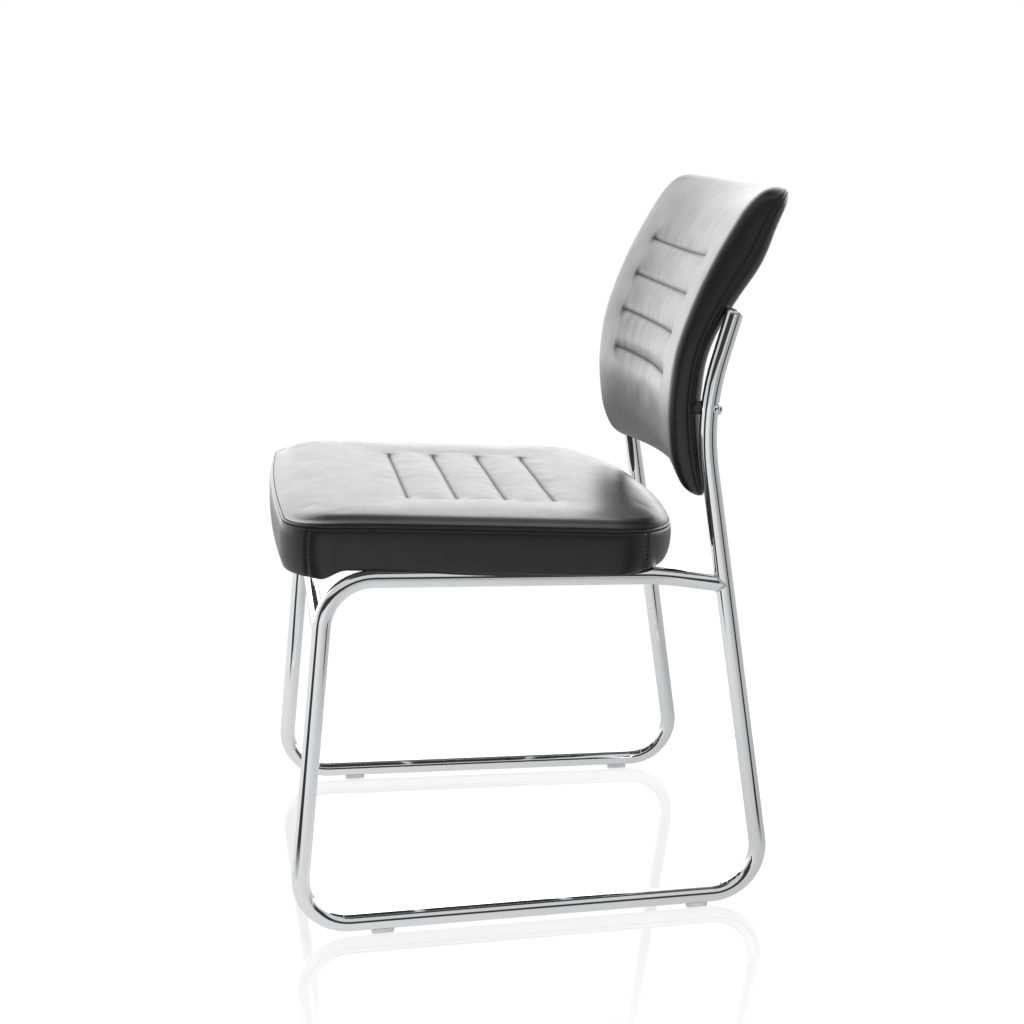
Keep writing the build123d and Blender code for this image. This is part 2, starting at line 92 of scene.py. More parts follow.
class Shade:
    """A node tree, emptied, with a short way to add nodes and set or link their sockets."""

    def __init__(self, tree):
        self.tree = tree
        tree.nodes.clear()

    def node(self, kind, settings=None, values=None, out=0):
        node = self.tree.nodes.new(kind)
        for key, value in (settings or {}).items():
            setattr(node, key, value)
        for key, value in (values or {}).items():
            socket = node.inputs[key]
            if isinstance(value, Field):
                self.tree.links.new(value.socket, socket)
            else:
                socket.default_value = value
        return Field(self, node.outputs[out]) if node.outputs else None

    def mix(self, factor, first, second):
        return self.node("ShaderNodeMix", {"data_type": "RGBA"}, {0: factor, 6: first, 7: second}, out=2)


def material(name):
    made = bpy.data.materials.new(name)
    made.use_nodes = True
    return made, Shade(made.node_tree)


def finish_surface(shade, values):
    """Principled surface from a dictionary of socket values."""
    surface = shade.node("ShaderNodeBsdfPrincipled", None, values)
    shade.node("ShaderNodeOutputMaterial", None, {"Surface": surface})


def noise_of(shade, place, scale, detail=3.0, rough=0.55):
    return shade.node(
        "ShaderNodeTexNoise", {"noise_dimensions": "3D"},
        {"Vector": place, "Scale": scale, "Detail": detail, "Roughness": rough},
    )


def object_place(shade):
    return shade.node("ShaderNodeTexCoord", out=3)


def grey(value, tint=1.0):
    return (value, value, value * tint, 1.0)


def leatherette(name, level=0.008, rough=0.34):
    """Satin black coated cloth: pebble grain, faint colour drift, and painted shade along the seams, which darkens
    the skin and dulls its gloss there.
    """
    made, shade = material(name)
    place = object_place(shade)
    cells = shade.node("ShaderNodeTexVoronoi", {"feature": "SMOOTH_F1"},
                       {"Vector": place, "Scale": 720.0, "Smoothness": 0.6})
    pores = noise_of(shade, place, 1900.0, 2.0)
    drift = noise_of(shade, place, 14.0, 3.0)
    sheen = noise_of(shade, place, 46.0, 4.0)
    # painted shade along the sewn lines: this mask darkens the skin's colour and mixes in the dark diffuse shadow
    # below
    painted_seam_shade = shade.node("ShaderNodeAttribute", {"attribute_name": "painted_seam_shade"}, out=2)
    colour = shade.mix(drift, grey(level * 0.86, 1.04), grey(level * 1.18, 1.03))
    colour = shade.mix(painted_seam_shade * 0.75, colour, grey(level * 0.25))
    grain = cells * 0.75 + pores * 0.3
    bump = shade.node("ShaderNodeBump", None, {"Strength": 0.16, "Distance": 0.0005, "Height": grain})
    skin = shade.node("ShaderNodeBsdfPrincipled", None, {
        "Base Color": colour,
        "Roughness": rough - 0.05 + sheen * 0.1,
        "Specular IOR Level": 0.5,
        "Coat Weight": 0.06,
        "Coat Roughness": 0.22,
        "Normal": bump,
    })
    shadow = shade.node("ShaderNodeBsdfDiffuse", None, {"Color": grey(0.008)})
    whole = shade.node("ShaderNodeMixShader", None, {0: (painted_seam_shade * 0.7).clamp(), 1: skin, 2: shadow})
    shade.node("ShaderNodeOutputMaterial", None, {"Surface": whole})
    return made


def chrome(name, rough=0.035):
    """Polished chrome plate with faint handling smears."""
    made, shade = material(name)
    place = object_place(shade)
    smear = noise_of(shade, place, 23.0, 5.0, 0.65)
    fine = noise_of(shade, place, 210.0, 2.0)
    colour = shade.mix(smear, (0.86, 0.87, 0.885, 1), (0.93, 0.935, 0.945, 1))
    finish_surface(shade, {
        "Base Color": colour,
        "Metallic": 1.0,
        "Roughness": rough + smear * 0.035 + fine * 0.01,
    })
    return made


def plated_steel(name):
    """Bright zinc plate, a little dull and cloudy."""
    made, shade = material(name)
    place = object_place(shade)
    cloud = noise_of(shade, place, 160.0, 4.0)
    colour = shade.mix(cloud, (0.48, 0.48, 0.46, 1), (0.66, 0.66, 0.62, 1))
    finish_surface(shade, {"Base Color": colour, "Metallic": 1.0, "Roughness": 0.24 + cloud * 0.2})
    return made


def weld_metal(name):
    """Rippled weld metal under the chrome."""
    made, shade = material(name)
    place = object_place(shade)
    ripple = noise_of(shade, place, 420.0, 3.0)
    colour = shade.mix(ripple, (0.66, 0.67, 0.68, 1), (0.85, 0.86, 0.87, 1))
    bump = shade.node("ShaderNodeBump", None, {"Strength": 0.4, "Distance": 0.0006, "Height": ripple})
    finish_surface(shade, {"Base Color": colour, "Metallic": 1.0, "Roughness": 0.12 + ripple * 0.12, "Normal": bump})
    return made


def moulded_nylon(name, level=0.022):
    """Moulded nylon with a fine spark-eroded texture; level is its grey, black unless given."""
    made, shade = material(name)
    place = object_place(shade)
    spark = noise_of(shade, place, 1400.0, 3.0)
    scuff = noise_of(shade, place, 90.0, 4.0)
    colour = shade.mix(scuff, grey(level * 0.85), grey(level * 1.4))
    bump = shade.node("ShaderNodeBump", None, {"Strength": 0.2, "Distance": 0.0003, "Height": spark})
    finish_surface(shade, {"Base Color": colour, "Roughness": 0.42 + scuff * 0.2, "Normal": bump})
    return made


def dust_cloth(name):
    """Black non-woven cloth: matted fibres with a dot emboss."""
    made, shade = material(name)
    place = object_place(shade)
    fibre = noise_of(shade, place, 700.0, 6.0, 0.7)
    dots = shade.node("ShaderNodeTexVoronoi", {"feature": "F1"},
                      {"Vector": place, "Scale": 420.0, "Randomness": 0.0})
    height = fibre * 0.5 + (dots * 1.6).clamp() * 0.6
    colour = shade.mix(fibre, grey(0.012), grey(0.04))
    bump = shade.node("ShaderNodeBump", None, {"Strength": 0.5, "Distance": 0.0006, "Height": height})
    finish_surface(shade, {"Base Color": colour, "Roughness": 0.92, "Normal": bump})
    return made


def plywood(name):
    """Raw plywood: long grain and a little figure."""
    made, shade = material(name)
    place = object_place(shade)
    stretched = shade.node("ShaderNodeMapping", None, {"Vector": place, "Scale": (6.0, 60.0, 60.0)})
    figure = noise_of(shade, stretched, 3.0, 6.0, 0.6)
    colour = shade.mix(figure, (0.36, 0.23, 0.12, 1), (0.62, 0.46, 0.28, 1))
    finish_surface(shade, {"Base Color": colour, "Roughness": 0.6 + figure * 0.2})
    return made


def thread(name):
    """Twisted black polyester thread."""
    made, shade = material(name)
    place = object_place(shade)
    twist = noise_of(shade, place, 1600.0, 2.0)
    colour = shade.mix(twist, grey(0.008), grey(0.03))
    finish_surface(shade, {"Base Color": colour, "Roughness": 0.7 + twist * 0.2, "Specular IOR Level": 0.08})
    return made


SEAT_SKIN = leatherette("seat_leatherette")
BACK_SKIN = leatherette("back_leatherette")
TUBE_CHROME = chrome("tube_chrome")
CAP_CHROME = chrome("cap_chrome", 0.3)
BOLT_CHROME = chrome("bolt_chrome", 0.09)
ZINC = plated_steel("zinc_fastener")
WELD = weld_metal("weld_bead")
NYLON = moulded_nylon("spacer_nylon")
CLEAR_NYLON = moulded_nylon("glide_nylon", 0.62)
CLOTH = dust_cloth("under_cloth")
PLY = plywood("seat_plywood")
THREAD = thread("black_thread")

NODE_FINISH = {
    "left_side_frame": TUBE_CHROME, "right_side_frame": TUBE_CHROME,
    "front_cross_tube": TUBE_CHROME, "front_seat_bar": TUBE_CHROME, "rear_seat_bar": TUBE_CHROME,
    "left_end_cap": CAP_CHROME, "right_end_cap": CAP_CHROME,
    "seat_board": PLY, "back_board": PLY, "left_back_block": PLY, "right_back_block": PLY,
    "seat_dust_cover": CLOTH,
}
for node_name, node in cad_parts.items():
    finish = NODE_FINISH.get(node_name)
    if finish is None and "glide" in node_name:
        finish = CLEAR_NYLON
    if finish is None and "spacer" in node_name:
        finish = NYLON
    if finish is None and node_name.endswith("back_bolt"):
        finish = BOLT_CHROME
    if finish is None and ("bolt" in node_name or "nut" in node_name or "insert" in node_name):
        finish = ZINC
    if finish is not None:
        node.data.materials.clear()
        node.data.materials.append(finish)


# Mesh helpers

def new_piece(name, bm, finishes, smooth=True):
    """Turns a bmesh in millimetres into a piece that rides on the chair."""
    bmesh.ops.scale(bm, vec=(MM, MM, MM), verts=bm.verts)
    mesh = bpy.data.meshes.new(name)
    bm.to_mesh(mesh)
    bm.free()
    piece = bpy.data.objects.new(name, mesh)
    bpy.context.scene.collection.objects.link(piece)
    for finish in finishes:
        mesh.materials.append(finish)
    for face in mesh.polygons:
        face.use_smooth = smooth
    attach(piece, "root")
    return piece


def smoothstep(low, high, value):
    t = min(1.0, max(0.0, (value - low) / (high - low)))
    return t * t * (3 - 2 * t)


def spread(low, high, step, marks, offsets):
    """Values from low to high about step apart, with closer ones beside each mark."""
    fine = sorted(mark + off for mark in marks for off in offsets)
    count = round((high - low) / step)
    values = [low + (high - low) * i / count for i in range(count + 1)]
    kept = [v for v in values if all(abs(v - f) > step * 0.45 for f in fine)]
    return sorted(set(kept + [f for f in fine if low < f < high] + [low, high]))


class Plan:
    """Flat outline of a pad: a rounded rectangle with bowed ends and drawn-in sides."""

    def __init__(self, half_width, half_depth, low_corner, high_corner, low_bow, high_bow, draw):
        self.half_width = half_width
        self.half_depth = half_depth
        self.corners = (low_corner, high_corner)
        self.bows = (low_bow, high_bow)
        self.draw = draw

    def rounded(self, p, q, inset):
        """Square coordinates p and q in a plain rounded rectangle, drawn in by inset."""
        a = self.half_width - inset
        b = self.half_depth - inset
        x = p * a
        y = q * b
        r = max(self.corners[q > 0] - inset, 3.0)
        across = (abs(x) - a + r) / r
        along = (abs(y) - b + r) / r
        if across > 0 and along > 0:
            x = math.copysign(a - r + r * across * math.sqrt(1 - along * along / 2), x)
            y = math.copysign(b - r + r * along * math.sqrt(1 - across * across / 2), y)
        return x, y

    def edge_distance(self, p, q, inset):
        """Distance in from the drawn-in outline, and how much the nearest edge is an end, from 0 to 1."""
        x, y = self.rounded(p, q, inset)
        r = max(self.corners[q > 0] - inset, 3.0)
        across = abs(x) - (self.half_width - inset - r)
        along = abs(y) - (self.half_depth - inset - r)
        if across > 0 and along > 0:
            reach = math.hypot(across, along)
            return r - reach, (along / reach) ** 2
        return r - max(across, along), float(along > across)

    def point(self, p, q, inset):
        """Place in the plan of square coordinates p and q, with the bowed ends and drawn-in sides."""
        x, y = self.rounded(p, q, inset)
        fx = x / self.half_width
        fy = y / self.half_depth
        y -= math.copysign(self.bows[q > 0], y) * fx * fx * abs(fy) ** 3
        x *= 1 - self.draw / self.half_width * (1 - fy * fy)
        return x, y

    def edge_param(self, y_wanted):
        """The q on the side edge whose place along the depth is y_wanted."""
        low, high = -1.0, 1.0
        for _ in range(40):
            mid = (low + high) / 2
            if self.point(1.0, mid, 0.0)[1] < y_wanted:
                low = mid
            else:
                high = mid
        return (low + high) / 2

    def loop(self, count=1600):
        """Square coordinates evenly round the outline, starting at the low right corner."""
        side = count // 4
        rising = [-1 + 2 * i / side for i in range(side)]
        falling = [1 - 2 * i / side for i in range(side)]
        around = [(1.0, t) for t in rising] + [(t, 1.0) for t in falling]
        return around + [(-1.0, t) for t in falling] + [(t, -1.0) for t in rising]


def pad_mesh(plan, columns, rows, face_inset, face_height, rings, tail, tail_height, to_world, groove=None):
    """Closed pad: a face panel, rings down its side given as (inset, height), and a tail panel.

    columns and rows are in millimetres in the face's plan. groove draws the rings in, but not the tail, which
    has to meet its panel. Returns the bmesh, the face's vertices with their plan places, and the rings' vertices.
    """
    bm = bmesh.new()
    bmesh.ops.create_grid(bm, x_segments=len(columns) - 1, y_segments=len(rows) - 1, size=1.0)
    across = {value: i for i, value in enumerate(sorted({round(v.co.x, 5) for v in bm.verts}))}
    along = {value: i for i, value in enumerate(sorted({round(v.co.y, 5) for v in bm.verts}))}
    half_w = columns[-1]
    half_d = rows[-1]
    params = {}
    for v in bm.verts:
        params[v] = (columns[across[round(v.co.x, 5)]] / half_w, rows[along[round(v.co.y, 5)]] / half_d)
    face_faces = list(bm.faces)
    made = bmesh.ops.duplicate(bm, geom=list(bm.verts) + list(bm.edges) + face_faces)
    twins = {old: new for old, new in made["vert_map"].items() if isinstance(old, bmesh.types.BMVert)}
    for v, pair in list(params.items()):
        if v in twins and twins[v] not in params:
            params[twins[v]] = pair
    tail_faces = [f for f in made["geom"] if isinstance(f, bmesh.types.BMFace)]
    bmesh.ops.reverse_faces(bm, faces=tail_faces)
    face_verts = {v for f in face_faces for v in f.verts}
    tail_verts = {v for f in tail_faces for v in f.verts}
    face_places = {}
    for v in face_verts:
        p, q = params[v]
        x, y = plan.point(p, q, face_inset)
        face_places[v] = (x, y)
        v.co = to_world(x, y, face_height(x, y, p, q))
    edge = [e for f in face_faces for e in f.edges if e.is_boundary]
    ring_verts = []
    for inset, height in rings + [tail]:
        shaped = groove is not None and len(ring_verts) < len(rings)
        owner = {}
        for e in edge:
            for v in e.verts:
                owner[v.co.copy().freeze()] = params[v]
        made = bmesh.ops.extrude_edge_only(bm, edges=edge)
        fresh = [g for g in made["geom"] if isinstance(g, bmesh.types.BMVert)]
        ends = set(fresh)
        edge = [g for g in made["geom"] if isinstance(g, bmesh.types.BMEdge) and ends.issuperset(g.verts)]
        for v in fresh:
            params[v] = owner[v.co.copy().freeze()]
            p, q = params[v]
            x, y = plan.point(p, q, inset + (groove(p, q, height) if shaped else 0.0))
            v.co = to_world(x, y, height(p, q) if callable(height) else height)
        ring_verts.append(fresh)
    for v in tail_verts:
        p, q = params[v]
        x, y = plan.point(p, q, tail[0])
        v.co = to_world(x, y, tail_height(x, y, p, q))
    bmesh.ops.remove_doubles(bm, verts=list(tail_verts) + ring_verts[-1], dist=0.02)
    bmesh.ops.recalc_face_normals(bm, faces=bm.faces)
    return bm, face_places, ring_verts


def swell(piece, held, pressure, cap, frames=20):
    """Blows the loose part of a pad up as sewn cloth, moves no point more than cap, and keeps the result."""
    group = piece.vertex_groups.new(name="held")
    for index, weight in held.items():
        group.add([index], weight, "REPLACE")
    rest = [v.co.copy() for v in piece.data.vertices]
    cloth = piece.modifiers.new("swell", "CLOTH")
    settings = cloth.settings
    settings.quality = 6
    settings.mass = 0.25
    settings.tension_stiffness = 40
    settings.compression_stiffness = 40
    settings.shear_stiffness = 20
    settings.bending_stiffness = 3.0
    settings.air_damping = 4
    settings.vertex_group_mass = "held"
    settings.use_pressure = True
    settings.uniform_pressure_force = pressure
    settings.effector_weights.gravity = 0
    cloth.collision_settings.use_collision = False
    cloth.point_cache.frame_start = 1
    cloth.point_cache.frame_end = frames
    scene = bpy.context.scene
    for number in range(1, frames + 1):
        scene.frame_set(number)
    blown = piece.evaluated_get(bpy.context.evaluated_depsgraph_get())
    moved = [v.co.copy() for v in blown.data.vertices]
    piece.modifiers.remove(cloth)
    scene.frame_set(1)
    for v, old, new in zip(piece.data.vertices, rest, moved):
        step = new - old
        if step.length > cap * MM:
            step.length = cap * MM
        v.co = old + step
    piece.vertex_groups.remove(group)
    piece.data.update()


def store_painted_seam_shade(piece, values):
    """Keeps how near each point is to a sewn line, as painted shade that darkens the skin there."""
    layer = piece.data.attributes.new("painted_seam_shade", "FLOAT", "POINT")
    layer.data.foreach_set("value", values)


def add_subdivision(piece, levels=1):
    finer = piece.modifiers.new("finer", "SUBSURF")
    finer.levels = levels
    finer.render_levels = levels


class Sewing:
    """Stitches of one thread, gathered in small batches and joined at the end."""

    def __init__(self):
        self.batches = []
        self.batch = bmesh.new()
        self.count = 0

    def stitch(self, place):
        bmesh.ops.create_uvsphere(self.batch, u_segments=6, v_segments=4, radius=1.0, matrix=place)
        self.count += 1
        if self.count % 24 == 0:
            self.close_batch()

    def close_batch(self):
        mesh = bpy.data.meshes.new("stitch_batch")
        self.batch.to_mesh(mesh)
        self.batches.append(mesh)
        self.batch.free()
        self.batch = bmesh.new()

    def line(self, points, outward, length, pitch, radius, lift):
        """Stitches along a polyline; outward gives the surface normal at each of its points."""
        run = 0.0
        target = pitch / 2
        for i in range(len(points) - 1):
            here, there = points[i], points[i + 1]
            span = (there - here).length
            while span > 0 and run + span >= target:
                t = (target - run) / span
                spot = here.lerp(there, t)
                normal = outward[i].lerp(outward[i + 1], t).normalized()
                ahead = (there - here).normalized()
                side = normal.cross(ahead).normalized()
                turn = Matrix((ahead, side, normal)).transposed().to_4x4()
                turn.translation = spot + normal * lift
                self.stitch(turn @ Matrix.Diagonal((length / 2, radius, radius * 0.8, 1.0)))
                target += pitch
            run += span

    def join(self):
        self.close_batch()
        self.batch.free()
        whole = bmesh.new()
        for mesh in self.batches:
            whole.from_mesh(mesh)
            bpy.data.meshes.remove(mesh)
        return whole


# Seat

SEAT_TILT = math.radians(3.2)
SEAT_ORIGIN = Vector((0.0, -61.0, 417.07))
SEAT_X = Vector((1.0, 0.0, 0.0))
SEAT_V = Vector((0.0, math.cos(SEAT_TILT), -math.sin(SEAT_TILT)))
SEAT_N = Vector((0.0, math.sin(SEAT_TILT), math.cos(SEAT_TILT)))
SEAT_PLAN = Plan(
    half_width=245.0, half_depth=235.0, low_corner=60.0, high_corner=90.0, low_bow=11.0, high_bow=30.0, draw=2.0,
)
SEAT_FACE_INSET = 12.0
SEAT_HALF_FACE = (SEAT_PLAN.half_width - SEAT_FACE_INSET, SEAT_PLAN.half_depth - SEAT_FACE_INSET)
SEAT_CHANNEL_PITCH = 57.0
SEAT_CHANNELS = [3.9 + SEAT_CHANNEL_PITCH * (i - 1.5) for i in range(4)]
SEAT_CHANNEL_HALF = 136.0
LIP_DROP = 11.0
SIDE_HANG = 3.5
SEAT_CROWN = 58.8
SIDE_FALL = 5.0
END_FALL = 10.5
FRONT_TUCK = 4.5
REAR_TUCK = 7.0
FRONT_CORNER_FALL = 3.0
SIDE_ROLL = (14, 1.7)  # reach in from the edge and roundness, as for the end
END_ROLL = (48, 2.2)
FRONT_CORNER_REACH = 62.0
SEAT_FOLD_DEPTH = 4.2
SEAT_PUFF = 1.4


def seat_world(x, v, h):
    return SEAT_ORIGIN + SEAT_X * x + SEAT_V * v + SEAT_N * h


def rise(distance, reach, power):
    return 1 - (1 - min(max(distance, 0.0) / reach, 1.0)) ** power


def crease(distance, sharp, broad):
    """A sewn line's profile across: a sharp fold in a broad hollow."""
    return 0.55 * math.exp(-abs(distance) / sharp) + 0.45 * math.exp(-((distance / broad) ** 2))


def seat_top(p, q):
    """Height of the top panel without its sewing: it falls off to the sides, and more to front and rear."""
    inward, ending = SEAT_PLAN.edge_distance(p, q, SEAT_FACE_INSET)
    side = SIDE_FALL * (1 - rise(inward, *SIDE_ROLL))
    end = END_FALL * (1 - rise(inward, *END_ROLL))
    x, v = SEAT_PLAN.point(p, q, SEAT_FACE_INSET)
    off = math.hypot(SEAT_HALF_FACE[0] - abs(x), SEAT_HALF_FACE[1] + v)
    corner = FRONT_CORNER_FALL * math.exp(-((off / FRONT_CORNER_REACH) ** 2)) * (1 - rise(inward, *END_ROLL))
    return SEAT_CROWN - side - (end - side) * ending - corner


def seat_face_height(x, v, p, q):
    height = seat_top(p, q)
    crown = max(0.0, 1 - (SEAT_CROWN - height) / END_FALL)
    fade = 1 - smoothstep(SEAT_CHANNEL_HALF - 12, SEAT_CHANNEL_HALF + 3, abs(x))
    reach = 1 - smoothstep(SEAT_CHANNEL_HALF - 30, SEAT_CHANNEL_HALF + 45, abs(x))
    fold = sum(crease(v - line, 2.2, 8.0) for line in SEAT_CHANNELS)
    ends = sum(
        math.exp(-(((v - line) / 5.0) ** 2) - ((abs(x) - SEAT_CHANNEL_HALF + 4) / 5.0) ** 2)
        for line in SEAT_CHANNELS
    )
    puff = 0.0
    if SEAT_CHANNELS[0] - 30 < v < SEAT_CHANNELS[-1] + 30:
        puff = 0.5 - 0.5 * math.cos(2 * math.pi * (v - SEAT_CHANNELS[0]) / SEAT_CHANNEL_PITCH)
        puff *= smoothstep(SEAT_CHANNELS[0] - 30, SEAT_CHANNELS[0], v)
        puff *= 1 - smoothstep(SEAT_CHANNELS[-1], SEAT_CHANNELS[-1] + 30, v)
    height += SEAT_PUFF * puff * reach - SEAT_FOLD_DEPTH * fold * fade - 0.9 * ends
    near = min(abs(v - line) for line in SEAT_CHANNELS)
    gather = noise.noise(Vector((x / 17.0, v / 60.0, 3.1))) * math.exp(-near / 16.0) * reach
    drift = noise.noise(Vector((x / 75.0, v / 75.0, 8.4)))
    return height + 0.55 * gather * min(1.0, near / 4.0) + 0.7 * drift * crown


def seat_low(depth, hang=0.0):
    """Height of a low ring: the front hangs as a lip, and the sides sag a little outside the rails."""
    def at(p, q):
        v = SEAT_PLAN.point(p, q, 0.0)[1]
        lip = LIP_DROP * (1 - smoothstep(-187.0, -160.0, v))
        sag = SIDE_HANG * (0.6 + 0.4 * smoothstep(-70.0, -20.0, v)) * (1 - smoothstep(140.0, 190.0, v))
        return depth - lip - sag * hang
    return at


def seam_height(level, share=1.0):
    """Height of a ring by the sewn welt, which follows the edge of the top panel down to front and rear."""
    def at(p, q):
        return level - share * (SEAT_CROWN - SIDE_FALL - seat_top(p, q))
    return at


SEAT_UPPER = (4.5, seam_height(50.1, 0.7))
SEAT_LOWER = (3.0, seam_height(45.6, 0.65))
SEAT_ROLL = [(9.6, 52.9, 0.96), (7.6, 52.1, 0.9), (6.0, 51.4, 0.83), (4.6, 50.8, 0.76)]
SEAT_WELT = [(4.9, 50.4, 0.7), (4.9, 49.8, 0.7), (3.7, 49.3, 0.7), (2.7, 48.5, 0.7), (2.2, 47.6, 0.68),
             (2.4, 46.6, 0.66), (3.4, 45.9, 0.65), (3.4, 45.3, 0.65), (2.2, 44.8, 0.65), (1.4, 43.1, 0.6)]
SEAT_RINGS = [(inset, seam_height(level, share)) for inset, level, share in SEAT_ROLL + SEAT_WELT] + [
    (0.5, seam_height(38.5, 0.5)), (0.0, seam_height(32.0, 0.2)), (0.0, 25.0), (0.1, seat_low(16.0, 0.2)),
    (0.3, seat_low(8.0, 0.6)), (0.7, seat_low(2.8, 0.95)), (1.7, seat_low(0.6, 1.0)), (4.6, seat_low(0.1, 1.0)),
    (9.5, seat_low(0.1, 0.5)), (14.0, seat_low(0.1)), (18.6, seat_low(0.4)), (19.0, 7.0),
]
SEAT_GROOVES = (4, 5, 10, 11)
SEAT_TAIL = (19.0, 13.3)
CORNER_SEAM_FRONT = SEAT_PLAN.edge_param(-200.0)
CORNER_SEAM_REAR = SEAT_PLAN.edge_param(178.0)


def boxing_draw(p, q, height):
    """How far the boxing is drawn in: the upright seams by its corners, and the tucks under front and rear."""
    level = height(p, q) if callable(height) else height
    here = SEAT_PLAN.point(p, q, 0.0)[1]
    tuck = (1 - smoothstep(-218.0, -172.0, here)) * FRONT_TUCK * max(0.0, (18.0 - level) / 29.0) ** 2
    tuck += smoothstep(140.0, 215.0, here) * REAR_TUCK * max(0.0, (22.0 - level) / 22.0) ** 2
    if abs(p) < 0.999 or level > 44.0:
        return tuck
    depth = 0.0
    for mark in (CORNER_SEAM_FRONT, CORNER_SEAM_REAR):
        there = SEAT_PLAN.point(1.0, mark, 0.0)[1]
        depth += math.exp(-(((here - there) / 1.5) ** 2))
    return 1.1 * depth + tuck


def seat_tail_height(x, v, p, q):
    """The pad lies flat on its board."""
    return SEAT_TAIL[1]


def make_seat():
    half_width, half_depth = SEAT_HALF_FACE
    roll = [sign * (half_width - 7.0) for sign in (-1, 1)]
    columns = spread(-half_width, half_width, 5.6, [-SEAT_CHANNEL_HALF, SEAT_CHANNEL_HALF] + roll, (-3.0, 0.0, 3.0))
    seam_rows = [CORNER_SEAM_FRONT * half_depth, CORNER_SEAM_REAR * half_depth]
    marks = SEAT_CHANNELS + seam_rows
    rows = spread(-half_depth, half_depth, 5.6, marks, (-4.6, -1.8, 0.0, 1.8, 4.6))
    bm, places, rings = pad_mesh(
        SEAT_PLAN, columns, rows, SEAT_FACE_INSET, seat_face_height, SEAT_RINGS, SEAT_TAIL,
        seat_tail_height, seat_world, groove=boxing_draw,
    )
    bm.verts.index_update()
    held = {v.index: 1.0 for v in bm.verts}
    shade = [0.0] * len(bm.verts)
    for v, (x, y) in places.items():
        inside = abs(x) < SEAT_CHANNEL_HALF + 3
        near = min(abs(y - line) for line in SEAT_CHANNELS) if inside else 99.0
        edge = min(half_width - abs(x), half_depth - abs(y))
        loose = smoothstep(1.0, 14.0, near) * smoothstep(0.0, 16.0, edge)
        held[v.index] = 1.0 - loose
        shade[v.index] = math.exp(-((near / 1.7) ** 2)) * (1 - smoothstep(130, 139, abs(x)))
    for number in SEAT_GROOVES:
        for v in rings[number]:
            shade[v.index] = SEAM_SHADE
    piece = new_piece("seat_pad", bm, [SEAT_SKIN])
    swell(piece, held, 1.5, 2.5)
    store_painted_seam_shade(piece, shade)
    add_subdivision(piece)
    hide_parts("seat_cover", "seat_foam")


def ring_line(plan, ring, to_world, toward):
    """Polyline round a pad at a ring, and the surface normals along it."""
    points = []
    normals = []
    for p, q in plan.loop():
        inset, height = ring
        level = height(p, q) if callable(height) else height
        x, y = plan.point(p, q, inset)
        x2, y2 = plan.point(p, q, inset + toward[0])
        points.append(to_world(x, y, level))
        normals.append(to_world(x2, y2, level + toward[1]) - points[-1])
    points.append(points[0])
    normals.append(normals[0])
    outward = []
    count = len(points) - 1
    for i in range(count):
        ahead = points[(i + 1) % count] - points[i - 1]
        outward.append(ahead.cross(normals[i]).normalized())
    outward.append(outward[0])
    return points, outward


def make_seat_stitches():
    sewing = Sewing()
    for ring in (SEAT_UPPER, SEAT_LOWER):
        points, outward = ring_line(SEAT_PLAN, ring, seat_world, (1.2, 2.0))
        sewing.line(points, outward, *RIM_STITCH)
    for p in (-1.0, 1.0):
        for mark in (CORNER_SEAM_FRONT, CORNER_SEAM_REAR):
            place = SEAT_PLAN.point(1.0, mark, 0.0)[1]
            for off in (-2.3, 2.3):
                q = SEAT_PLAN.edge_param(place + off)
                points = []
                outward = []
                for inset, height in ((1.5, 42.5), (0.5, 38.5), (0.0, 33.0), (0.0, 25.0), (0.2, 15.0),
                                      (0.8, 7.0), (1.9, 2.0)):
                    x, y = SEAT_PLAN.point(p, q, inset)
                    xi, yi = SEAT_PLAN.point(p, q, inset + 4.0)
                    points.append(seat_world(x, y, height))
                    outward.append((seat_world(x, y, height) - seat_world(xi, yi, height)).normalized())
                sewing.line(points, outward, *CORNER_STITCH)
    new_piece("seat_stitches", sewing.join(), [THREAD])


# Back

BACK_RIM = [
    (478.0, 157.5), (505.0, 154.3), (531.0, 151.0), (558.0, 148.0), (585.0, 146.5), (612.0, 148.0),
    (645.0, 152.8), (678.0, 162.5), (718.0, 178.5), (757.0, 198.0), (795.0, 220.5), (826.0, 240.5), (850.0, 255.5),
]
RIM_LOW_Z = 481.0
RIM_HIGH_Z = 853.0
RIM_HEIGHT = 37.0
BACK_HOLLOW = 24.0


def rim_curve():
    """Samples of the back's side profile, with their distance along it."""
    samples = []
    for i in range(1, len(BACK_RIM) - 2):
        p0, p1, p2, p3 = (Vector((y, z)) for z, y in BACK_RIM[i - 1:i + 3])
        for step in range(24):
            t = step / 24
            samples.append(
                0.5 * (2 * p1 + (p2 - p0) * t + (2 * p0 - 5 * p1 + 4 * p2 - p3) * t * t
                       + (3 * p1 - p0 - 3 * p2 + p3) * t ** 3)
            )
    first = samples[0] + (samples[0] - samples[1]).normalized() * 30
    last = samples[-1] + (samples[-1] - samples[-4]).normalized() * 40
    samples = [first] + samples + [last]
    run = [0.0]
    for a, b in zip(samples, samples[1:]):
        run.append(run[-1] + (b - a).length)
    return samples, run


RIM_SAMPLES, RIM_RUN = rim_curve()


def rim_at(distance):
    """Point of the side profile at a distance along it."""
    low, high = 0, len(RIM_RUN) - 1
    while high - low > 1:
        mid = (low + high) // 2
        if RIM_RUN[mid] <= distance:
            low = mid
        else:
            high = mid
    t = (distance - RIM_RUN[low]) / (RIM_RUN[low + 1] - RIM_RUN[low])
    return RIM_SAMPLES[low].lerp(RIM_SAMPLES[low + 1], t)


def rim_run_at_z(z):
    for i in range(len(RIM_SAMPLES) - 1):
        if RIM_SAMPLES[i].y <= z <= RIM_SAMPLES[i + 1].y:
            t = (z - RIM_SAMPLES[i].y) / (RIM_SAMPLES[i + 1].y - RIM_SAMPLES[i].y)
            return RIM_RUN[i] + t * (RIM_RUN[i + 1] - RIM_RUN[i])
    raise ValueError("height outside the back")


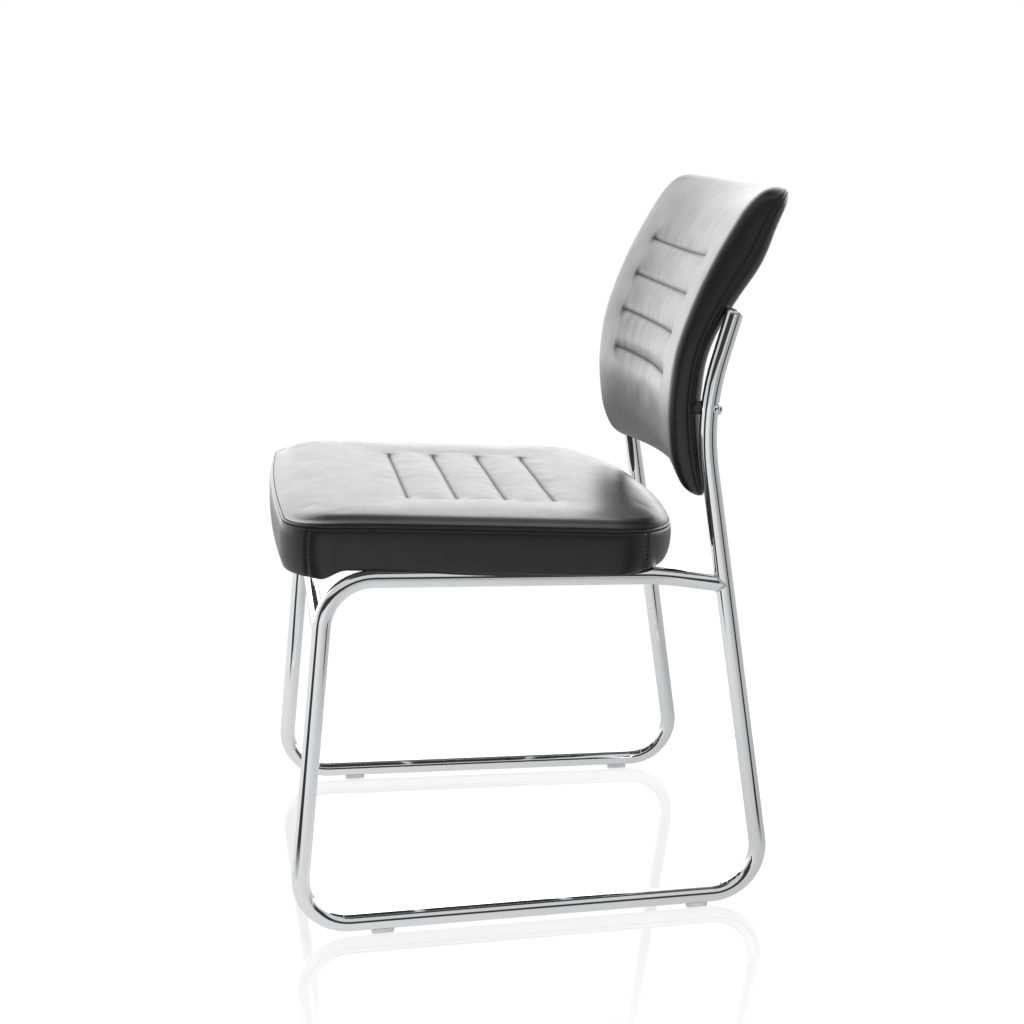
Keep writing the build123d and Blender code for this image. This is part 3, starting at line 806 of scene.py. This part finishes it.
RIM_START = rim_run_at_z(RIM_LOW_Z)
RIM_END = rim_run_at_z(RIM_HIGH_Z)
BACK_HALF_HEIGHT = (RIM_END - RIM_START) / 2
BACK_PLAN = Plan(
    half_width=211.0, half_depth=BACK_HALF_HEIGHT, low_corner=18.0, high_corner=26.0,
    low_bow=0.0, high_bow=14.0, draw=0.0,
)
BACK_FACE_INSET = 17.0
BACK_HALF_FACE = BACK_PLAN.half_width - BACK_FACE_INSET
BACK_CHANNEL_HALF = 133.0
EDGE_TAPER = 62.0
BACK_FOLD_DEPTH = 4.0
BACK_FOLD_SHARES = (0.65, 0.9, 1.0, 1.0)
BACK_PUFF = 1.6


def back_thin(v):
    """How far the pad's front comes forward: less at its top and bottom edges."""
    low = max(0.0, 1 - (v + BACK_HALF_HEIGHT) / EDGE_TAPER)
    high = max(0.0, 1 - (BACK_HALF_HEIGHT - v) / EDGE_TAPER)
    return 1 - 0.45 * low ** 2.2 - 0.55 * high ** 2.0


def back_bulge(z):
    """How far the rear stands out behind the plain pad, at a height on the front rim."""
    return 13.0 * math.exp(-(((z - 772.0) / 44.0) ** 2)) + 4.0 * math.exp(-(((z - 715.0) / 36.0) ** 2))


def back_world(x, v, h):
    """Bends the flat pad to the back's profile and hollow."""
    run = RIM_START + BACK_HALF_HEIGHT + v
    point = rim_at(run)
    ahead = rim_at(run + 9.0) - rim_at(run - 9.0)
    ahead.normalize()
    h = back_thin(v) * h - back_bulge(point.y) * (1 - smoothstep(4.0, 36.0, h))
    behind = RIM_HEIGHT - h + BACK_HOLLOW * (1 - (x / 205.0) ** 2)
    return Vector((x, point.x + ahead.y * behind, point.y - ahead.x * behind))


BACK_CHANNELS = [rim_run_at_z(z) - RIM_START - BACK_HALF_HEIGHT for z in (614.5, 664.0, 710.0, 755.0)]


def back_face_height(x, v, p, q):
    side = (1 - abs(p)) * BACK_HALF_FACE
    end = (1 - abs(q)) * (BACK_HALF_HEIGHT - BACK_FACE_INSET)
    crown = rise(side, 70, 2.2) * rise(end, 60, 2.2)
    height = 38.6 + 5.6 * crown
    fade = 1 - smoothstep(BACK_CHANNEL_HALF - 11, BACK_CHANNEL_HALF + 3, abs(x))
    reach = 1 - smoothstep(BACK_CHANNEL_HALF - 25, BACK_CHANNEL_HALF + 35, abs(x))
    fold = sum(share * crease(v - line, 2.2, 7.5) for line, share in zip(BACK_CHANNELS, BACK_FOLD_SHARES))
    ends = sum(
        math.exp(-(((v - line) / 5.0) ** 2) - ((abs(x) - BACK_CHANNEL_HALF + 4) / 5.0) ** 2)
        for line in BACK_CHANNELS
    )
    near = min(abs(v - line) for line in BACK_CHANNELS)
    beyond = max(BACK_CHANNELS[0] - v, v - BACK_CHANNELS[-1], 0.0)
    puff = smoothstep(0.0, 24.0, near) * reach * (1 - smoothstep(18.0, 70.0, beyond))
    height += BACK_PUFF * puff - BACK_FOLD_DEPTH * fold * fade - 0.9 * ends
    gather = noise.noise(Vector((x / 15.0, v / 70.0, 5.7))) * math.exp(-near / 18.0) * reach
    drift = noise.noise(Vector((x / 70.0, v / 70.0, 1.9)))
    return height + 0.6 * gather * min(1.0, near / 4.0) + 0.6 * drift * crown


def back_tail_height(x, v, p, q):
    side = (1 - abs(p)) * BACK_HALF_FACE
    end = (1 - abs(q)) * (BACK_HALF_HEIGHT - BACK_FACE_INSET)
    return 0.2 - 1.6 * rise(side, 70, 2.0) * rise(end, 70, 2.0)


BACK_UPPER = (0.85, 16.0)
BACK_LOWER = (1.75, 10.4)
BACK_RINGS = [
    (12.6, 37.4), (8.8, 35.4), (5.6, 32.6), (3.2, 29.0), (1.4, 24.8), (0.4, 20.8), (0.0, 18.2), (0.1, 16.8),
    (1.0, 16.2), (1.0, 15.8), (0.0, 15.3), (-0.2, 13.6), (0.2, 11.8), (0.7, 11.1), (1.8, 10.6), (1.9, 10.2),
    (1.2, 9.6), (3.2, 7.3), (5.6, 4.9), (9.4, 2.8), (14.5, 1.2),
]
BACK_GROOVES = (8, 9, 14, 15)
BACK_TAIL = (24.0, 0.2)


def make_back():
    half_face = BACK_HALF_HEIGHT - BACK_FACE_INSET
    columns = spread(-BACK_HALF_FACE, BACK_HALF_FACE, 5.4, [-BACK_CHANNEL_HALF, BACK_CHANNEL_HALF], (-3.0, 0.0, 3.0))
    rows = spread(-half_face, half_face, 5.4, BACK_CHANNELS, (-4.4, -1.7, 0.0, 1.7, 4.4))
    bm, places, rings = pad_mesh(
        BACK_PLAN, columns, rows, BACK_FACE_INSET, back_face_height, BACK_RINGS, BACK_TAIL,
        back_tail_height, back_world,
    )
    bm.verts.index_update()
    held = {v.index: 1.0 for v in bm.verts}
    shade = [0.0] * len(bm.verts)
    for v, (x, y) in places.items():
        inside = abs(x) < BACK_CHANNEL_HALF + 3
        near = min(abs(y - line) for line in BACK_CHANNELS) if inside else 99.0
        edge = min(BACK_HALF_FACE - abs(x), half_face - abs(y))
        loose = smoothstep(1.0, 14.0, near) * smoothstep(0.0, 16.0, edge)
        held[v.index] = 1.0 - loose
        shade[v.index] = math.exp(-((near / 1.6) ** 2)) * (1 - smoothstep(127, 136, abs(x)))
    for number in BACK_GROOVES:
        for v in rings[number]:
            shade[v.index] = SEAM_SHADE
    piece = new_piece("back_pad", bm, [BACK_SKIN])
    swell(piece, held, 1.5, 2.0)
    store_painted_seam_shade(piece, shade)
    add_subdivision(piece)
    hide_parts("back_cover", "back_foam")


def make_back_stitches():
    sewing = Sewing()
    for ring in (BACK_UPPER, BACK_LOWER):
        points, outward = ring_line(BACK_PLAN, ring, back_world, (-0.4, 2.0))
        sewing.line(points, outward, *RIM_STITCH)
    new_piece("back_stitches", sewing.join(), [THREAD])


# Welds and small fittings, millimetres, left side; the right mirrors it

TAIL_WELD = Vector((218.5, 211.65, 387.0))
RAIL_REAR = Vector((204.5, 142.0, 395.5))
RAIL_FRONT = Vector((247.4, -240.76, 416.9))
UPRIGHT_ALONG = Vector((-0.0225, -0.1468, 1.0)).normalized()
LEG_ALONG = Vector((0.0, 0.1033, 1.0)).normalized()
RAIL_ALONG = (RAIL_REAR - RAIL_FRONT).normalized()
TUBE_RADIUS = 10.0
OUTWARD = Vector((1.0, 0.0, 0.0))
# each weld: a point on the joined tube's axis, its direction and radius, then a point on the tube it meets and
# that one's direction
WELDS = [
    (RAIL_REAR, TAIL_WELD - RAIL_REAR, 10.0, TAIL_WELD, UPRIGHT_ALONG),
    (Vector((180.0, -247.68, 350.0)), OUTWARD, 8.0, Vector((247.4, -247.68, 350.0)), LEG_ALONG),
    (Vector((180.0, -98.0, 409.92)), OUTWARD, 9.0, RAIL_FRONT, RAIL_ALONG),
    (Vector((160.0, 102.0, 398.74)), OUTWARD, 9.0, RAIL_FRONT, RAIL_ALONG),
]


def weld_loop(start, along, radius, host, host_along, sign):
    """Closed line where one tube's skin meets another's, and the way the bead faces."""
    along = along.normalized()
    side = along.orthogonal().normalized()
    up = along.cross(side)
    points = []
    outward = []
    for i in range(49):
        turn = 2 * math.pi * i / 48
        spoke = side * math.cos(turn) + up * math.sin(turn)
        origin = start + spoke * radius
        offset = origin - host
        a = along - host_along * along.dot(host_along)
        b = offset - host_along * offset.dot(host_along)
        inner = max(a.dot(b) ** 2 - a.dot(a) * (b.dot(b) - TUBE_RADIUS ** 2), 0.0)
        spot = origin + along * ((-a.dot(b) - math.sqrt(inner)) / a.dot(a))
        away = spot - host
        away = (away - host_along * away.dot(host_along)).normalized()
        face = (spoke + away).normalized()
        points.append(Vector((spot.x * sign, spot.y, spot.z)))
        outward.append(Vector((face.x * sign, face.y, face.z)))
    return points, outward


def make_welds():
    beads = Sewing()
    for sign in (-1.0, 1.0):
        for weld in WELDS:
            points, outward = weld_loop(*weld, sign)
            beads.line(points, outward, *WELD_RIPPLE)
    new_piece("weld_beads", beads.join(), [WELD])


BOLT_CENTRE = Vector((213.97, 190.54, 588.0))
BOLT_OUT = Vector((math.sin(math.radians(40.0)), math.cos(math.radians(40.0)), 0.0))


def make_bolt_sockets():
    """Painted shade for the hexagon sockets in the two back bolts' heads: thin black hexagons laid on the chrome
    heads where the recesses fall dark.
    """
    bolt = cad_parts["left_back_bolt"]
    top = max((bolt.matrix_world @ v.co).dot(BOLT_OUT) for v in bolt.data.vertices) / MM
    height = top - BOLT_CENTRE.dot(BOLT_OUT)
    bm = bmesh.new()
    for sign in (-1.0, 1.0):
        facing = Vector((BOLT_OUT.x * sign, BOLT_OUT.y, BOLT_OUT.z))
        place = facing.to_track_quat("Z", "Y").to_matrix().to_4x4()
        place.translation = Vector((BOLT_CENTRE.x * sign, BOLT_CENTRE.y, BOLT_CENTRE.z)) + facing * height
        bmesh.ops.create_cone(bm, cap_ends=True, segments=6, radius1=2.4, radius2=2.3, depth=0.3, matrix=place)
    # the black nylon finish here is painted shade standing for the dark inside of each socket
    new_piece("bolt_sockets", bm, [NYLON], smooth=False)


def make_staples():
    """Staples that hold the cloth under the seat."""
    staples = Sewing()
    points = []
    outward = []
    for p, q in SEAT_PLAN.loop():
        x, y = SEAT_PLAN.point(p, q, 27.0)
        points.append(seat_world(x, y, 0.0))
        outward.append(-SEAT_N)
    points.append(points[0])
    outward.append(outward[0])
    staples.line(points, outward, *STAPLE)
    new_piece("cloth_staples", staples.join(), [ZINC])


make_seat()
make_seat_stitches()
make_back()
make_back_stitches()
make_welds()
make_bolt_sockets()
make_staples()


# Stage: white floor, soft boxes, white surround with dark flags that only gloss sees

FAR_GLOW = 3.0
NEAR_GLOW = 0.66
PHOTO_SIDE = 1024.0  # pixels
PHOTO_FOCAL = 1804.0  # pixels
SENSOR = 36.0  # millimetres


def dark_wedges(shade, x, y):
    """1 where the studio is dark beside the camera, seen from the chair, else 0."""
    turn = y.math("ARCTAN2", x) * (180 / math.pi)
    left = shade.node("ShaderNodeMapRange", {"interpolation_type": "SMOOTHSTEP"},
                      {0: (turn + 56.5).math("ABSOLUTE"), 1: 15.0, 2: 11.0, 3: 0.0, 4: 1.0})
    right = shade.node("ShaderNodeMapRange", {"interpolation_type": "SMOOTHSTEP"},
                       {0: (turn - 45.0).math("ABSOLUTE"), 1: 9.5, 2: 5.5, 3: 0.0, 4: 1.0})
    return left.math("MAXIMUM", right)


def step_field(shade, value, low, high):
    return shade.node("ShaderNodeMapRange", {"interpolation_type": "SMOOTHSTEP"},
                      {0: value, 1: low, 2: high, 3: 0.0, 4: 1.0})


def split_axes(shade, vector):
    split = shade.tree.nodes.new("ShaderNodeSeparateXYZ")
    shade.tree.links.new(vector.socket, split.inputs[0])
    return [Field(shade, out) for out in split.outputs]


def make_floor():
    bm = bmesh.new()
    bmesh.ops.create_grid(bm, x_segments=2, y_segments=2, size=20.0)
    mesh = bpy.data.meshes.new("studio_floor")
    bm.to_mesh(mesh)
    bm.free()
    floor = bpy.data.objects.new("studio_floor", mesh)
    bpy.context.scene.collection.objects.link(floor)
    made, shade = material("white_floor")
    camera_ray = shade.node("ShaderNodeLightPath", out=0)
    gloss_ray = shade.node("ShaderNodeLightPath", out=3)
    x, y, z = split_axes(shade, object_place(shade))
    away = (x * x + y * y) ** 0.5
    lit = shade.node("ShaderNodeBsdfDiffuse", None, {"Color": (0.92, 0.92, 0.92, 1)})
    glow = shade.node("ShaderNodeEmission", None, {"Color": (1, 1, 1, 1), "Strength": 1.0})
    sheen = shade.node("ShaderNodeBsdfGlossy", None, {"Color": (1, 1, 1, 1), "Roughness": 0.05})
    fade = step_field(shade, away, 0.35, 1.1)
    seen = shade.node("ShaderNodeMixShader", None, {0: 0.74 + fade * 0.26, 1: lit, 2: glow})
    seen = shade.node("ShaderNodeMixShader", None, {0: 0.085 * (1 - fade), 1: seen, 2: sheen})
    far = step_field(shade, x, -2.0, -5.5)
    dark = dark_wedges(shade, x, y) * step_field(shade, away, 0.55, 0.75)
    side = 0.6 + step_field(shade, y, 1.2, -0.8) * 0.65
    rear = step_field(shade, y, 0.6, 1.3) * step_field(shade, x, 1.3, 0.5) * 0.12
    level = (NEAR_GLOW * side + rear + far * (FAR_GLOW - NEAR_GLOW)) * (1 - dark * 0.95)
    mirrored = shade.node("ShaderNodeEmission", None, {"Color": (1, 1, 1, 1), "Strength": level})
    whole = shade.node("ShaderNodeMixShader", None, {0: gloss_ray, 1: lit, 2: mirrored})
    whole = shade.node("ShaderNodeMixShader", None, {0: camera_ray, 1: whole, 2: seen})
    shade.node("ShaderNodeOutputMaterial", None, {"Surface": whole})
    mesh.materials.append(made)


def make_world():
    world = bpy.data.worlds.new("studio")
    bpy.context.scene.world = world
    world.use_nodes = True
    shade = Shade(world.node_tree)
    camera_ray = shade.node("ShaderNodeLightPath", out=0)
    gloss_ray = shade.node("ShaderNodeLightPath", out=3)
    x, y, z = split_axes(shade, shade.node("ShaderNodeTexCoord", out=0))
    far = step_field(shade, x, -0.1, -0.5) * step_field(shade, z, 0.85, 0.6)
    far = far * (0.35 + step_field(shade, y, -0.75, -0.3) * 0.65)
    near_band = step_field(shade, x, 0.15, 0.4) * step_field(shade, z, 0.06, 0.1) * step_field(shade, z, 0.55, 0.45)
    overhead = step_field(shade, z, 0.9, 0.95)
    dark = dark_wedges(shade, x, y) * step_field(shade, z, 0.45, 0.3)
    dark = dark.math("MAXIMUM", near_band.math("MAXIMUM", overhead))
    level = (NEAR_GLOW + far * (FAR_GLOW - NEAR_GLOW)) * (1 - dark * 0.94)
    soft = shade.node("ShaderNodeBackground", None, {"Color": (1, 1, 1, 1), "Strength": 0.72})
    shiny = shade.node("ShaderNodeBackground", None, {"Color": (1, 1, 1, 1), "Strength": level})
    white = shade.node("ShaderNodeBackground", None, {"Color": (1, 1, 1, 1), "Strength": 1.0})
    first = shade.node("ShaderNodeMixShader", None, {0: gloss_ray, 1: soft, 2: shiny})
    whole = shade.node("ShaderNodeMixShader", None, {0: camera_ray, 1: first, 2: white})
    shade.node("ShaderNodeOutputWorld", None, {"Surface": whole})


def make_lamp(name, place, aim, size, energy):
    lamp = bpy.data.lights.new(name, "AREA")
    lamp.shape = "RECTANGLE"
    lamp.size, lamp.size_y = size
    lamp.energy = energy
    holder = bpy.data.objects.new(name, lamp)
    holder.location = place
    holder.rotation_euler = (Vector(aim) - Vector(place)).to_track_quat("-Z", "Y").to_euler()
    bpy.context.scene.collection.objects.link(holder)
    holder.visible_camera = False
    holder.visible_glossy = False


def make_camera():
    data = bpy.data.cameras.new("photo_camera")
    data.sensor_width = SENSOR
    data.lens = PHOTO_FOCAL / PHOTO_SIDE * SENSOR
    data.clip_end = 60.0
    camera = bpy.data.objects.new("photo_camera", data)
    turn = math.radians(81.41)
    lift = math.radians(12.725)
    sight = Vector((-math.sin(turn) * math.cos(lift), math.cos(turn) * math.cos(lift), -math.sin(lift)))
    camera.location = (2.1422, -0.3231, 0.9176)
    camera.rotation_euler = sight.to_track_quat("-Z", "Y").to_euler()
    bpy.context.scene.collection.objects.link(camera)
    bpy.context.scene.camera = camera


make_floor()
make_world()
make_lamp("overhead_softbox", (-0.4, 0.3, 2.7), (0.0, 0.0, 0.4), (2.4, 2.0), 55.0)
make_lamp("front_fill", (1.8, -1.9, 1.5), (0.0, 0.0, 0.5), (1.4, 1.4), 14.0)
make_camera()
bpy.context.scene.view_settings.view_transform = "Standard"
